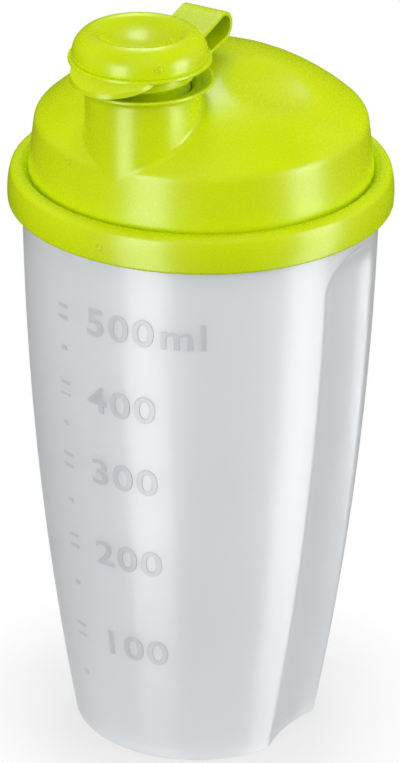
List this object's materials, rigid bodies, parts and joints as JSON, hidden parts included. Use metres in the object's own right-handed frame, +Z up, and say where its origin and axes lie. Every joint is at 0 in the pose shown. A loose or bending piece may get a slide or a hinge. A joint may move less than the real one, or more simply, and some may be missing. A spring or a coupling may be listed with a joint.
{
  "type": "shaker bottle",
  "caption": "Tapered translucent shaker beaker with grip flutes, a domed push-on lid, a pouring spout and a stopper cap on a strap.",
  "frame": {"origin": "on the standing plane, on the beaker's upright axis", "axes": "+Z up along the beaker's axis, -Y towards the pouring spout, the grip flutes at +X and -X"},
  "size_m": [0.094, 0.0957, 0.1937],
  "materials": {
    "translucent_polypropylene": "milky translucent moulded plastic, softly glossy",
    "lime_polyethylene": "fine-grained satin moulding",
    "white_polypropylene": "smooth moulding",
    "clear_silicone": "soft and satin"
  },
  "bodies": {
    "beaker": {"beaker": "translucent_polypropylene"},
    "lid": {"lid": "lime_polyethylene", "lid_rim": "lime_polyethylene", "lid_seal_ring": "clear_silicone", "cap_strap": "lime_polyethylene"},
    "cap": {"stopper_cap": "lime_polyethylene"},
    "sieve": {"mixing_sieve": "white_polypropylene"}
  },
  "joints": [
    {"name": "lid_lift", "type": "slide", "parent": "beaker", "child": "lid", "axis": [0, 0, 1], "range_m": [0, 0.08]},
    {"name": "sieve_lift", "type": "slide", "parent": "beaker", "child": "sieve", "axis": [0, 0, 1], "range_m": [0, 0.04]},
    {"name": "cap_swing", "type": "hinge", "parent": "lid", "child": "cap", "pos_m": [0, 0.0038, 0.18625], "axis": [-1, 0, 0], "range_deg": [0, 150], "deforming": ["cap_strap"]}
  ],
  "couplings": [
    {"joint": "sieve_lift", "follows": "lid_lift", "ratio": 0.5}
  ]
}
